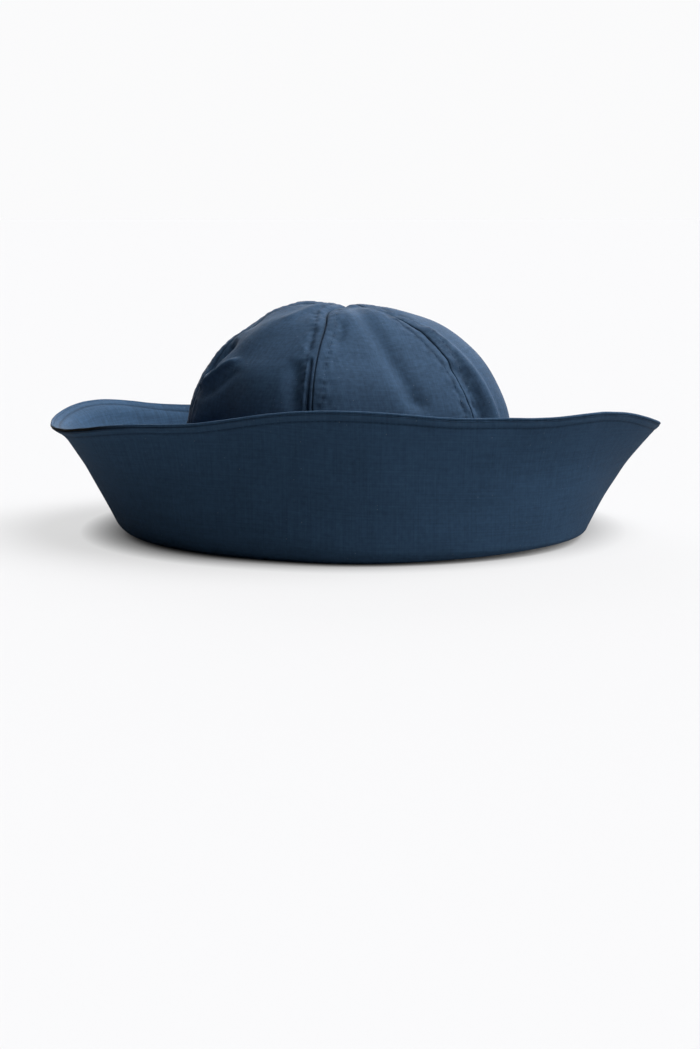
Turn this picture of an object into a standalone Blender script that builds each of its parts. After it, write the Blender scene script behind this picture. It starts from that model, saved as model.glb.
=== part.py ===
"""Sun hat in navy cotton: a six-panel crown inside a wide brim of two layers, turned up all round.

Sizes are metres and +Z is up. The hat rests on the fold of its brim at Z = 0, and its front is
towards -Y. An azimuth is in degrees, 0 at the front and 90 at the wearer's left, which is +X.
"""

import math
from collections import namedtuple

import bmesh
import bpy
import numpy as np

# Crown
CROWN_CENTRE_X = -0.0042
CROWN_RADIUS = 0.0938
CROWN_WIDEST_HEIGHT = 0.050
CROWN_DOME_RISE = 0.0795
DOME_SQUARENESS = 2.15
HEAD_SEAM_RADIUS = 0.0925
CROWN_WALL = 0.0012
PANEL_TIP_RADIUS = 0.0012
PANEL_PUFF = 0.0016
PANEL_FLATNESS = (0.0065, 0.0004, 0.0025, 0.0025, 0.0004, 0.0065)
FLAT_FROM = 0.030
FLAT_OVER = 0.050
SEAM_DIP = 0.0010
SEAM_DIP_SHARPNESS = 10
PUFF_BEGINS = 0.030
PUFF_ENDS = 0.020
FOLDS_END = 0.012
FOLD_FADE = 1.5
PANEL_COLUMNS = 10
PANEL_ROWS = 14
DOME_STEPS = 120
SIDE_STEPS = 20
SLOPE_REACH = 0.001

# Brim
BRIM_LAYER = 0.0010
RIM_HALF_LENGTH = 0.1762
RIM_HALF_WIDTH = 0.1400
HEAD_SEAM_HEIGHT = 0.0200
FLANGE_INSIDE = 0.0018
FLANGE_OUTSIDE = 0.0030
HEEL_RADIUS = 0.1180
HEEL_ROLL = 0.0080
HEEL_STEPS = 2
SOLE_INSIDE = 0.1215
SOLE_OUTSIDE = 0.1262
WAIST_AT = 0.60
FRONT_HOLLOW = 0.0015
SIDE_HOLLOW = 0.0038
LIP_LENGTH = 0.0085
EDGE_LENGTH = 0.0020
BRIM_COLUMNS = 56
FOLD_STEPS = 4

# Room between two cloths that are sewn together, and points that are one and the same
CLEARANCE = 0.0003
MERGE_DISTANCE = 0.000001

# Brim by azimuth: height of the rim, where the turned-up wall would meet the floor, radius of the
# fold there, how far the fold stands off the floor, and how far the lip flares out over the wall
BrimRow = namedtuple("BrimRow", "azimuth rim_height fold_radius fold_roll fold_lift lip_flare")
BRIM_ROWS = [
    BrimRow(-180, 0.0560, 0.1390, 0.009, 0.0000, 0.0010),
    BrimRow(-150, 0.0595, 0.1385, 0.010, 0.0000, 0.0010),
    BrimRow(-136, 0.0603, 0.1382, 0.012, 0.0000, 0.0015),
    BrimRow(-126, 0.0630, 0.1378, 0.013, 0.0000, 0.0025),
    BrimRow(-116, 0.0672, 0.1368, 0.014, 0.0000, 0.0034),
    BrimRow(-106, 0.0679, 0.1358, 0.014, 0.0000, 0.0040),
    BrimRow(-95, 0.0648, 0.1346, 0.013, 0.0000, 0.0040),
    BrimRow(-80, 0.0621, 0.1352, 0.013, 0.0000, 0.0038),
    BrimRow(-66, 0.0647, 0.1382, 0.014, 0.0000, 0.0034),
    BrimRow(-54, 0.0690, 0.1396, 0.014, 0.0000, 0.0026),
    BrimRow(-45, 0.0708, 0.1400, 0.014, 0.0000, 0.0020),
    BrimRow(-36, 0.0724, 0.1400, 0.013, 0.0000, 0.0014),
    BrimRow(-20, 0.0787, 0.1395, 0.011, 0.0000, 0.0010),
    BrimRow(-4, 0.0813, 0.1405, 0.007, 0.0004, 0.0010),
    BrimRow(11, 0.0792, 0.1410, 0.005, 0.0012, 0.0010),
    BrimRow(22, 0.0768, 0.1416, 0.004, 0.0020, 0.0010),
    BrimRow(32, 0.0762, 0.1421, 0.003, 0.0026, 0.0010),
    BrimRow(42, 0.0752, 0.1425, 0.002, 0.0032, 0.0010),
    BrimRow(54, 0.0759, 0.1414, 0.002, 0.0034, 0.0014),
    BrimRow(65, 0.0729, 0.1384, 0.002, 0.0030, 0.0016),
    BrimRow(78, 0.0659, 0.1345, 0.003, 0.0018, 0.0018),
    BrimRow(92, 0.0598, 0.1329, 0.006, 0.0004, 0.0020),
    BrimRow(115, 0.0525, 0.1360, 0.008, 0.0000, 0.0016),
    BrimRow(145, 0.0495, 0.1385, 0.009, 0.0000, 0.0010),
]

# Seams of the crown, each by its azimuth at the top and at the head seam
Seam = namedtuple("Seam", "azimuth_top azimuth_low")
CROWN_SEAMS = [
    Seam(-16, -11),
    Seam(45, 53),
    Seam(106, 109),
    Seam(167, 168),
    Seam(227, 228),
    Seam(266, 280),
]

# Folds of the crown: a line from one place to another, each by azimuth and by distance along
# the cloth from the crown's top, with the fold's half width and how far it stands out
Fold = namedtuple("Fold", "azimuth_top from_top azimuth_low from_low half_width out")
CROWN_FOLDS = [
    Fold(-106, 0.018, -98, 0.044, 0.015, 0.0022),
    Fold(-84, 0.030, -86, 0.050, 0.008, 0.0010),
    Fold(-60, 0.042, -66, 0.074, 0.012, 0.0014),
    Fold(-82, 0.070, -84, 0.094, 0.007, -0.0026),
    Fold(-64, 0.080, -80, 0.102, 0.006, 0.0016),
    Fold(-20, 0.080, -17, 0.130, 0.004, -0.0024),
    Fold(184, 0.001, 182, 0.045, 0.005, -0.0040),
    Fold(8, 0.010, 27, 0.110, 0.007, -0.0022),
    Fold(53, 0.055, 66, 0.140, 0.005, 0.0022),
    Fold(50, 0.085, 57, 0.135, 0.005, -0.0022),
    Fold(80, 0.015, 88, 0.110, 0.035, -0.0012),
]

# Colours, as linear red, green and blue
NAVY_CROWN = (0.034, 0.058, 0.100, 1.0)
NAVY_BRIM_INSIDE = (0.036, 0.062, 0.104, 1.0)
NAVY_BRIM_OUTSIDE = (0.024, 0.044, 0.078, 1.0)
COTTON_ROUGHNESS = 0.82


def clear_scene():
    """Remove whatever the file holds."""
    for thing in list(bpy.data.objects):
        bpy.data.objects.remove(thing, do_unlink=True)


def closed_curve(rows, column):
    """Return a smooth closed curve through one column of a table, as a function of azimuth."""
    azimuths = np.array([row.azimuth for row in rows], dtype=float)
    values = np.array([getattr(row, column) for row in rows], dtype=float)
    count = len(rows)
    spans = np.diff(np.append(azimuths, azimuths[0] + 360.0))
    slopes = (np.roll(values, -1) - values) / spans
    system = np.zeros((count, count))
    change = np.zeros(count)
    for i in range(count):
        before = i - 1
        after = (i + 1) % count
        system[i, before] += spans[before]
        system[i, i] += 2.0 * (spans[before] + spans[i])
        system[i, after] += spans[i]
        change[i] = 6.0 * (slopes[i] - slopes[before])
    bends = np.linalg.solve(system, change)

    def value(azimuth):
        turned = (azimuth - azimuths[0]) % 360.0 + azimuths[0]
        i = int(np.searchsorted(azimuths, turned, side="right")) - 1
        after = (i + 1) % count
        step = turned - azimuths[i]
        rest = spans[i] - step
        cubic = (bends[i] * rest**3 + bends[after] * step**3) / (6.0 * spans[i])
        low = (values[i] / spans[i] - bends[i] * spans[i] / 6.0) * rest
        high = (values[after] / spans[i] - bends[after] * spans[i] / 6.0) * step
        return float(cubic + low + high)

    return value


def around(azimuth, radius, height, centre_x=0.0):
    """Return the point at an azimuth, a radius and a height."""
    angle = math.radians(azimuth)
    return (centre_x + radius * math.sin(angle), -radius * math.cos(angle), height)


def smooth_step(x):
    """Rise from 0 to 1 as x goes from 0 to 1."""
    x = min(max(x, 0.0), 1.0)
    return x * x * (3.0 - 2.0 * x)


def dome_outline():
    """Return the plain dome's side line from the top to the head seam: radius, height, distance."""
    power = 2.0 / DOME_SQUARENESS
    turn = np.linspace(0.0, 0.5 * math.pi, DOME_STEPS + 1)
    dome_radius = CROWN_RADIUS * np.sin(turn) ** power
    dome_height = CROWN_WIDEST_HEIGHT + CROWN_DOME_RISE * np.cos(turn).clip(0.0) ** power
    seat = HEAD_SEAM_HEIGHT + 1.5 * CLEARANCE + BRIM_LAYER
    drop = np.linspace(0.0, 1.0, SIDE_STEPS + 1)[1:]
    side_radius = CROWN_RADIUS - (CROWN_RADIUS - HEAD_SEAM_RADIUS) * drop**2
    side_height = CROWN_WIDEST_HEIGHT - (CROWN_WIDEST_HEIGHT - seat) * drop
    radius = np.append(dome_radius, side_radius)
    height = np.append(dome_height, side_height)
    distance = np.append(0.0, np.cumsum(np.hypot(np.diff(radius), np.diff(height))))
    return radius, height, distance


DOME_R, DOME_Z, DOME_S = dome_outline()
CROWN_DEPTH = float(DOME_S[-1])


def dome_at(from_top):
    """Return the plain dome's radius, height and outward direction at a distance from its top."""
    radius = float(np.interp(from_top, DOME_S, DOME_R))
    height = float(np.interp(from_top, DOME_S, DOME_Z))
    ahead = min(from_top + SLOPE_REACH, CROWN_DEPTH)
    behind = max(from_top - SLOPE_REACH, 0.0)
    run = float(np.interp(ahead, DOME_S, DOME_R) - np.interp(behind, DOME_S, DOME_R))
    fall = float(np.interp(behind, DOME_S, DOME_Z) - np.interp(ahead, DOME_S, DOME_Z))
    length = math.hypot(run, fall)
    return radius, height, fall / length, run / length


def fold_height(azimuth, from_top, radius):
    """Return how far the crown's folds push the cloth out at one place."""
    out = 0.0
    for fold in CROWN_FOLDS:
        share = (from_top - fold.from_top) / (fold.from_low - fold.from_top)
        line = fold.azimuth_top + (fold.azimuth_low - fold.azimuth_top) * share
        turn = (azimuth - line + 180.0) % 360.0 - 180.0
        across = math.radians(turn) * radius / fold.half_width
        soft = FOLD_FADE * fold.half_width
        start = smooth_step((from_top - fold.from_top) / soft + 0.5)
        end = smooth_step((fold.from_low - from_top) / soft + 0.5)
        out += fold.out * math.exp(-across * across) * start * end
    return out


def seam_azimuth(number, from_top):
    """Return a seam's azimuth at a distance from the crown's top."""
    seam = CROWN_SEAMS[number % len(CROWN_SEAMS)]
    turns = 360.0 * (number // len(CROWN_SEAMS))
    return turns + seam.azimuth_top + (seam.azimuth_low - seam.azimuth_top) * from_top / CROWN_DEPTH


def crown_point(panel, across, from_top):
    """Return a point of one crown panel; across goes from -1 to 1, seam to seam."""
    radius, height, out_r, out_z = dome_at(from_top)
    gap = math.degrees(math.asin(0.5 * CLEARANCE / radius))
    start = seam_azimuth(panel, from_top) + gap
    end = seam_azimuth(panel + 1, from_top) - gap
    azimuth = 0.5 * (start + end) + 0.5 * across * (end - start)
    from_seam = CROWN_DEPTH - from_top
    puffed = smooth_step(from_top / PUFF_BEGINS) * smooth_step(from_seam / PUFF_ENDS)
    flat = PANEL_FLATNESS[panel] * smooth_step((from_top - FLAT_FROM) / FLAT_OVER)
    out = (PANEL_PUFF - flat) * (1.0 - across * across) * puffed
    out -= SEAM_DIP * abs(across) ** SEAM_DIP_SHARPNESS * puffed
    out += fold_height(azimuth, from_top, radius) * smooth_step(from_seam / FOLDS_END)
    return around(azimuth, radius + out * out_r, height + out * out_z, CROWN_CENTRE_X)


def crown_panel_surface(panel):
    """Return the outer face of one crown panel as an open mesh."""
    bm = bmesh.new()
    bmesh.ops.create_grid(bm, x_segments=PANEL_COLUMNS, y_segments=PANEL_ROWS, size=0.5)
    tip = float(np.interp(PANEL_TIP_RADIUS, DOME_R[:DOME_STEPS], DOME_S[:DOME_STEPS]))
    for vertex in bm.verts:
        across = math.sin(vertex.co.x * math.pi)
        from_top = CROWN_DEPTH + (tip - CROWN_DEPTH) * (vertex.co.y + 0.5)
        vertex.co = crown_point(panel, across, from_top)
    return finished_mesh(bm, "crown_panel")


def rounded_line(corners):
    """Round the corners of an open line. A corner is (radius, height, roll, steps)."""
    line = [np.array(corners[0][:2])]
    for before, corner, after in zip(corners, corners[1:], corners[2:]):
        place = np.array(corner[:2])
        roll, steps = corner[2], corner[3]
        back = np.array(before[:2]) - place
        ahead = np.array(after[:2]) - place
        back /= np.linalg.norm(back)
        ahead /= np.linalg.norm(ahead)
        if steps == 0:
            line.append(place)
            continue
        half_angle = 0.5 * math.acos(max(-1.0, min(1.0, float(back @ ahead))))
        centre = place + (back + ahead) / np.linalg.norm(back + ahead) * roll / math.sin(half_angle)
        start = place + back * roll / math.tan(half_angle) - centre
        end = place + ahead * roll / math.tan(half_angle) - centre
        turn = math.pi - 2.0 * half_angle
        for step in range(steps + 1):
            share = step / steps
            weight_start = math.sin((1.0 - share) * turn) / math.sin(turn)
            weight_end = math.sin(share * turn) / math.sin(turn)
            line.append(centre + start * weight_start + end * weight_end)
    line.append(np.array(corners[-1][:2]))
    return line


RIM_HEIGHT = closed_curve(BRIM_ROWS, "rim_height")
FOLD_RADIUS = closed_curve(BRIM_ROWS, "fold_radius")
FOLD_ROLL = closed_curve(BRIM_ROWS, "fold_roll")
FOLD_LIFT = closed_curve(BRIM_ROWS, "fold_lift")
LIP_FLARE = closed_curve(BRIM_ROWS, "lip_flare")
FLOOR = 0.5 * CLEARANCE + BRIM_LAYER


def rim_radius(azimuth):
    """Return the radius of the oval rim at one azimuth."""
    angle = math.radians(azimuth)
    across = RIM_HALF_WIDTH * math.sin(angle)
    along = RIM_HALF_LENGTH * math.cos(angle)
    return RIM_HALF_LENGTH * RIM_HALF_WIDTH / math.hypot(across, along)


def brim_section(azimuth):
    """Return the line between the brim's two layers at one azimuth, from head seam to rim."""
    head = HEAD_SEAM_RADIUS + CROWN_CENTRE_X * math.sin(math.radians(azimuth))
    lift = max(FOLD_LIFT(azimuth), 0.0)
    fold = np.array((FOLD_RADIUS(azimuth), FLOOR + lift))
    rim = np.array((rim_radius(azimuth), RIM_HEIGHT(azimuth)))
    wall = (rim - fold) / np.linalg.norm(rim - fold)
    inward = np.array((-wall[1], wall[0]))
    side = math.sin(math.radians(azimuth)) ** 2
    hollow = FRONT_HOLLOW + (SIDE_HOLLOW - FRONT_HOLLOW) * side
    waist = fold + (rim - fold) * WAIST_AT + inward * hollow
    lip = rim - wall * LIP_LENGTH + inward * LIP_FLARE(azimuth)
    edge = lip + (rim - lip) * (1.0 - EDGE_LENGTH / LIP_LENGTH)
    return rounded_line([
        (head - FLANGE_INSIDE, HEAD_SEAM_HEIGHT, 0.0, 0),
        (head + FLANGE_OUTSIDE, HEAD_SEAM_HEIGHT, 0.0, 0),
        (HEEL_RADIUS, FLOOR, HEEL_ROLL, HEEL_STEPS),
        (SOLE_INSIDE, FLOOR, 0.0, 0),
        (SOLE_OUTSIDE, FLOOR, 0.0, 0),
        (fold[0], fold[1], FOLD_ROLL(azimuth), FOLD_STEPS),
        (waist[0], waist[1], 0.0, 0),
        (lip[0], lip[1], 0.0, 0),
        (edge[0], edge[1], 0.0, 0),
        (rim[0], rim[1], 0.0, 0),
    ])


def brim_surface(name, stations_left_out):
    """Return the line between the layers swept round the hat, as an open mesh."""
    bm = bmesh.new()
    sections = [brim_section(360.0 * i / BRIM_COLUMNS) for i in range(BRIM_COLUMNS)]
    last = len(sections[0]) - 1 - stations_left_out
    bmesh.ops.create_grid(bm, x_segments=BRIM_COLUMNS, y_segments=last, size=0.5)
    for vertex in bm.verts:
        column = round((vertex.co.x + 0.5) * BRIM_COLUMNS) % BRIM_COLUMNS
        station = round((vertex.co.y + 0.5) * last)
        radius, height = sections[column][station]
        vertex.co = around(360.0 * column / BRIM_COLUMNS, radius, height)
    bmesh.ops.remove_doubles(bm, verts=bm.verts, dist=MERGE_DISTANCE)
    return finished_mesh(bm, name)


def finished_mesh(bm, name):
    """Write a bmesh to a new mesh that is shaded smooth."""
    mesh = bpy.data.meshes.new(name)
    bm.to_mesh(mesh)
    bm.free()
    mesh.shade_smooth()
    return mesh


def cloth_material(name, colour):
    """Return a matt cotton material."""
    material = bpy.data.materials.new(name)
    material.use_nodes = True
    shader = material.node_tree.nodes["Principled BSDF"]
    shader.inputs["Base Color"].default_value = colour
    shader.inputs["Roughness"].default_value = COTTON_ROUGHNESS
    shader.inputs["Metallic"].default_value = 0.0
    material.diffuse_color = colour
    return material


def add_cloth(collection, mesh, name, material, thickness, side):
    """Add one piece of cloth: an open surface given its thickness to one side."""
    piece = bpy.data.objects.new(name, mesh)
    collection.objects.link(piece)
    mesh.materials.append(material)
    wall = piece.modifiers.new("cloth", "SOLIDIFY")
    wall.thickness = thickness
    wall.offset = side
    wall.use_even_offset = True
    return piece


def add_crown(collection):
    """Add the crown's panels."""
    material = cloth_material("navy_crown_cotton", NAVY_CROWN)
    for panel in range(len(CROWN_SEAMS)):
        mesh = crown_panel_surface(panel)
        add_cloth(collection, mesh, f"crown_panel_{panel + 1}", material, CROWN_WALL, -1.0)


def add_brim(collection):
    """Add the brim's two layers, which lie on either side of the line between them."""
    clear = 1.0 + CLEARANCE / BRIM_LAYER
    upper = cloth_material("navy_brim_upper_cotton", NAVY_BRIM_INSIDE)
    under = cloth_material("navy_brim_under_cotton", NAVY_BRIM_OUTSIDE)
    add_cloth(collection, brim_surface("brim_upper", 0), "brim_upper", upper, BRIM_LAYER, -clear)
    add_cloth(collection, brim_surface("brim_under", 1), "brim_under", under, BRIM_LAYER, clear)


def build_hat():
    """Build the hat in a collection of its own."""
    clear_scene()
    collection = bpy.data.collections.new("sun_hat")
    bpy.context.scene.collection.children.link(collection)
    add_crown(collection)
    add_brim(collection)


build_hat()
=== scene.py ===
# %% [markdown]
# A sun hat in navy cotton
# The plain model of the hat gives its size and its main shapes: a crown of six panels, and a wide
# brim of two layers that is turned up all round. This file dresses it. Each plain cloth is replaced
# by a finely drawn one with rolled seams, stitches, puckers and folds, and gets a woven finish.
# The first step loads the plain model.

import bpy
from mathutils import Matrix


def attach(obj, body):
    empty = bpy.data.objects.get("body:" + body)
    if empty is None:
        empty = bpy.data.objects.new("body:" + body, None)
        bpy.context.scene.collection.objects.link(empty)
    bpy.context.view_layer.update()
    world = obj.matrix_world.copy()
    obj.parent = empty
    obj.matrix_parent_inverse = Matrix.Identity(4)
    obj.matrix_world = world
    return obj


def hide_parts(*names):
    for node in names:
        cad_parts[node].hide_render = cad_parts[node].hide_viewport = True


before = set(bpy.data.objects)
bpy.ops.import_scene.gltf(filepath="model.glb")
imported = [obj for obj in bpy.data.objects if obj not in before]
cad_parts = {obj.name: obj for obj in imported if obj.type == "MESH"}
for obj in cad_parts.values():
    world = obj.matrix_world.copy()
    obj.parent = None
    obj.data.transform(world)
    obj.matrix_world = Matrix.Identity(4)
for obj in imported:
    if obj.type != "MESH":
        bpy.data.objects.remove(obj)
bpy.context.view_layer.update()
print("plain cloths:", ", ".join(sorted(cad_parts)))

# %% Load the tools
import math
from collections import namedtuple

import bmesh
import bpy
import numpy as np
from mathutils import Matrix, Vector

MM = 0.001
DEGREE = math.pi / 180.0

# %% [markdown]
# Camera
# The hat was photographed from just above its rim with a long lens. The camera comes first, so that
# every later piece can be judged from the same place. It stands in front of the hat, 1.2 m away,
# and looks down by about nine degrees.

# %% Place the camera
CAMERA_PLACE = (-0.0030, -1.1853, 0.1852)
CAMERA_DOWN = 8.87
CAMERA_LENS = 70.0
CAMERA_SENSOR = 36.0


def add_object(name, data):
    """Put a mesh, a lamp or a camera into the scene."""
    thing = bpy.data.objects.new(name, data)
    bpy.context.scene.collection.objects.link(thing)
    return thing


camera_data = bpy.data.cameras.new("camera")
camera_data.sensor_fit = "VERTICAL"
camera_data.sensor_height = CAMERA_SENSOR
camera_data.lens = CAMERA_LENS
camera = add_object("camera", camera_data)
camera.location = CAMERA_PLACE
camera.rotation_euler = ((90.0 - CAMERA_DOWN) * DEGREE, 0.0, 0.0)
bpy.context.scene.camera = camera
print("camera", CAMERA_PLACE, "looks down by", CAMERA_DOWN, "degrees")

# %% [markdown]
# Soft shapes from a few small functions
# Cloth has no sharp changes in it. Three small functions give all its soft ones: a smooth step
# from 0 to 1, a smooth hill, and a field of gentle waves that is the same in every run because its
# random draws have a fixed seed. The waves are read at points in space, so they close round the
# hat.


# %% Define steps, hills and waves
def smooth_step(x):
    """Rise from 0 to 1 as x goes from 0 to 1."""
    x = np.clip(x, 0.0, 1.0)
    return x * x * (3.0 - 2.0 * x)


def hill(x, centre, reach):
    """Return a smooth hill that is 1 high at its centre."""
    return np.exp(-(((x - centre) / reach) ** 2))


WAVE_COUNT = 14
WAVE_SPREAD = (0.7, 1.6)


def soft_waves(points, length, seed):
    """Return a smooth random height, mostly between -1 and 1, at each point."""
    draw = np.random.default_rng(seed)
    height = np.zeros(len(points))
    for _ in range(WAVE_COUNT):
        way = draw.normal(size=points.shape[1])
        way *= 2.0 * math.pi / (np.linalg.norm(way) * length * draw.uniform(*WAVE_SPREAD))
        height += np.sin(points @ way + draw.uniform(0.0, 2.0 * math.pi))
    return height * math.sqrt(1.0 / WAVE_COUNT)


print("a hill of reach 2 is", round(float(hill(1.0, 0.0, 2.0)), 3), "high half way down")

# %% [markdown]
# The crown's dome
# Under its folds the crown is a plain dome, a little squarer than a ball, that runs down almost
# straight to the head seam. Its side line is kept as three rows of numbers: radius, height, and the
# distance along the cloth from the top. Every later shape on the crown is a height over this dome.

# %% Draw the dome's side line
CROWN_CENTRE_X = -0.0042
CROWN_RADIUS = 0.0938
CROWN_WIDEST_HEIGHT = 0.050
CROWN_DOME_RISE = 0.0795
DOME_SQUARENESS = 2.15
HEAD_SEAM_RADIUS = 0.0925
CROWN_FOOT_HEIGHT = 0.02145
DOME_STEPS = 2400
SIDE_STEPS = 400
SLOPE_REACH = 0.0015


def dome_outline():
    """Return the dome's radius, height and distance from the top down to the head seam."""
    power = 2.0 / DOME_SQUARENESS
    turn = np.linspace(0.0, 0.5 * math.pi, DOME_STEPS + 1)
    dome_radius = CROWN_RADIUS * np.sin(turn) ** power
    dome_height = CROWN_WIDEST_HEIGHT + CROWN_DOME_RISE * np.cos(turn).clip(0.0) ** power
    drop = np.linspace(0.0, 1.0, SIDE_STEPS + 1)[1:]
    side_radius = CROWN_RADIUS - (CROWN_RADIUS - HEAD_SEAM_RADIUS) * drop**2
    side_height = CROWN_WIDEST_HEIGHT - (CROWN_WIDEST_HEIGHT - CROWN_FOOT_HEIGHT) * drop
    radius = np.append(dome_radius, side_radius)
    height = np.append(dome_height, side_height)
    distance = np.append(0.0, np.cumsum(np.hypot(np.diff(radius), np.diff(height))))
    return radius, height, distance


DOME_R, DOME_Z, DOME_S = dome_outline()
CROWN_DEPTH = float(DOME_S[-1])


def dome_at(from_top):
    """Return the dome's radius, height and outward direction at distances from its top."""
    radius = np.interp(from_top, DOME_S, DOME_R)
    height = np.interp(from_top, DOME_S, DOME_Z)
    ahead = np.minimum(from_top + SLOPE_REACH, CROWN_DEPTH)
    behind = np.maximum(from_top - SLOPE_REACH, 0.0)
    run = np.interp(ahead, DOME_S, DOME_R) - np.interp(behind, DOME_S, DOME_R)
    fall = np.interp(behind, DOME_S, DOME_Z) - np.interp(ahead, DOME_S, DOME_Z)
    length = np.hypot(run, fall)
    return radius, height, fall / length, run / length


print("cloth from the crown's top to the head seam:", round(CROWN_DEPTH / MM, 1), "mm")

# %% [markdown]
# Seams and folds of the crown
# Six seams run from the top to the head seam. They aren't quite evenly spaced: the one nearest the
# camera swings to the left near the top, and the last one runs close to the left outline. The folds
# come from how the hat was set down. Each is a line on the dome with a half width, and it stands
# out or sinks in. A tuck is the same beside a seam. Short tables keep them easy to read: an azimuth
# is in degrees, 0 at the front and 90 at the camera's right, and every length is in metres.

# %% Name the seams and the folds
Seam = namedtuple("Seam", "azimuth_top azimuth_low swing swing_at swing_reach")
CROWN_SEAMS = [
    Seam(-16, -11, -6.0, 0.028, 0.014),
    Seam(45, 53, 0.0, 0.028, 0.014),
    Seam(106, 109, 1.5, 0.050, 0.030),
    Seam(167, 168, -1.0, 0.060, 0.030),
    Seam(227, 228, 1.0, 0.050, 0.030),
    Seam(266, 280, -4.0, 0.045, 0.020),
]

Fold = namedtuple("Fold", "azimuth_top from_top azimuth_low from_low half_width out")
CROWN_FOLDS = [
    Fold(-108, 0.020, -102, 0.054, 0.015, 0.0023),
    Fold(-62, 0.010, -76, 0.026, 0.004, -0.0012),
    Fold(-42, 0.018, -52, 0.046, 0.0045, 0.0011),
    Fold(-92, 0.046, -92, 0.060, 0.010, -0.0010),
    Fold(-90, 0.062, -92, 0.082, 0.012, 0.0010),
    Fold(-84, 0.030, -86, 0.050, 0.008, 0.0010),
    Fold(-60, 0.042, -66, 0.074, 0.012, 0.0014),
    Fold(-81, 0.072, -84, 0.094, 0.0055, -0.0036),
    Fold(-64, 0.081, -80, 0.102, 0.0042, 0.0026),
    Fold(-58, 0.088, -74, 0.108, 0.006, -0.0012),
    Fold(-58, 0.100, -60, 0.150, 0.024, -0.0044),
    Fold(184, 0.001, 182, 0.045, 0.005, -0.0040),
    Fold(-16, 0.002, -20, 0.024, 0.003, -0.0010),
    Fold(8, 0.010, 27, 0.110, 0.006, -0.0022),
    Fold(28, 0.008, 34, 0.040, 0.010, 0.0010),
    Fold(47, 0.012, 47, 0.038, 0.007, -0.0014),
    Fold(53, 0.055, 66, 0.140, 0.005, 0.0022),
    Fold(50, 0.085, 57, 0.135, 0.005, -0.0022),
    Fold(80, 0.015, 88, 0.110, 0.035, -0.0012),
    Fold(122, 0.020, 112, 0.060, 0.020, -0.0014),
]
FOLD_FADE = 1.5


def seam_azimuth(number, from_top):
    """Return a seam's azimuth at distances from the crown's top."""
    seam = CROWN_SEAMS[number % len(CROWN_SEAMS)]
    turns = 360.0 * (number // len(CROWN_SEAMS))
    line = seam.azimuth_top + (seam.azimuth_low - seam.azimuth_top) * from_top / CROWN_DEPTH
    return turns + line + seam.swing * hill(from_top, seam.swing_at, seam.swing_reach)


def fold_height(azimuth, from_top, radius):
    """Return how far the folds push the cloth out."""
    out = np.zeros(len(azimuth))
    for fold in CROWN_FOLDS:
        share = (from_top - fold.from_top) / (fold.from_low - fold.from_top)
        line = fold.azimuth_top + (fold.azimuth_low - fold.azimuth_top) * share
        turn = (azimuth - line + 180.0) % 360.0 - 180.0
        soft = FOLD_FADE * fold.half_width
        start = smooth_step((from_top - fold.from_top) / soft + 0.5)
        end = smooth_step((fold.from_low - from_top) / soft + 0.5)
        out += fold.out * hill(turn * DEGREE * radius, 0.0, fold.half_width) * start * end
    return out


# %% Name the tucks beside the seams
Tuck = namedtuple("Tuck", "panel side from_top fade_in from_low fade_out from_seam half_width out")
CROWN_TUCKS = [
    Tuck(5, 1, 0.080, 0.006, 0.150, 0.020, 0.0034, 0.0010, -0.0026),
    Tuck(5, 1, 0.080, 0.006, 0.150, 0.020, 0.0052, 0.0012, 0.0003),
    Tuck(5, 1, 0.082, 0.012, 0.112, 0.030, 0.0120, 0.0056, -0.0028),
    Tuck(5, 1, 0.056, 0.014, 0.072, 0.012, 0.0062, 0.0024, -0.0012),
    Tuck(5, 1, 0.006, 0.006, 0.028, 0.010, 0.0005, 0.0012, -0.0009),
    Tuck(0, -1, 0.006, 0.006, 0.028, 0.010, 0.0005, 0.0012, -0.0009),
    Tuck(0, -1, 0.044, 0.016, 0.066, 0.012, 0.0090, 0.0035, -0.0015),
    Tuck(1, -1, 0.074, 0.010, 0.094, 0.010, 0.0070, 0.0022, -0.0008),
    Tuck(1, -1, 0.094, 0.010, 0.125, 0.010, 0.0085, 0.0040, -0.0016),
    Tuck(0, 1, 0.098, 0.010, 0.125, 0.010, 0.0060, 0.0040, -0.0006),
]


def tuck_height(panel, side, from_top, from_seam):
    """Return how far the tucks beside the seams push the cloth out."""
    out = np.zeros(len(from_top))
    for tuck in CROWN_TUCKS:
        if tuck.panel == panel:
            start = smooth_step((from_top - tuck.from_top) / tuck.fade_in + 0.5)
            end = smooth_step((tuck.from_low - from_top) / tuck.fade_out + 0.5)
            here = start * end * (side == tuck.side)
            out += tuck.out * hill(from_seam, tuck.from_seam, tuck.half_width) * here
    return out


print("on the crown:", len(CROWN_SEAMS), "seams,", len(CROWN_FOLDS), "folds and",
      len(CROWN_TUCKS), "tucks")

# %% [markdown]
# Relief beside the seams
# Where two panels are sewn together, each cloth rolls down into the seam. Under it lies the seam
# allowance, which makes a raised band, and a row of stitches at the band's edge pulls a furrow.
# The thread gathers the cloth a little, so small puckers cross the band and fade into the panel.
# All of this could be a bump in the material, but real relief also shows on the outline and in the
# shadows, so it is part of the mesh.

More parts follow.
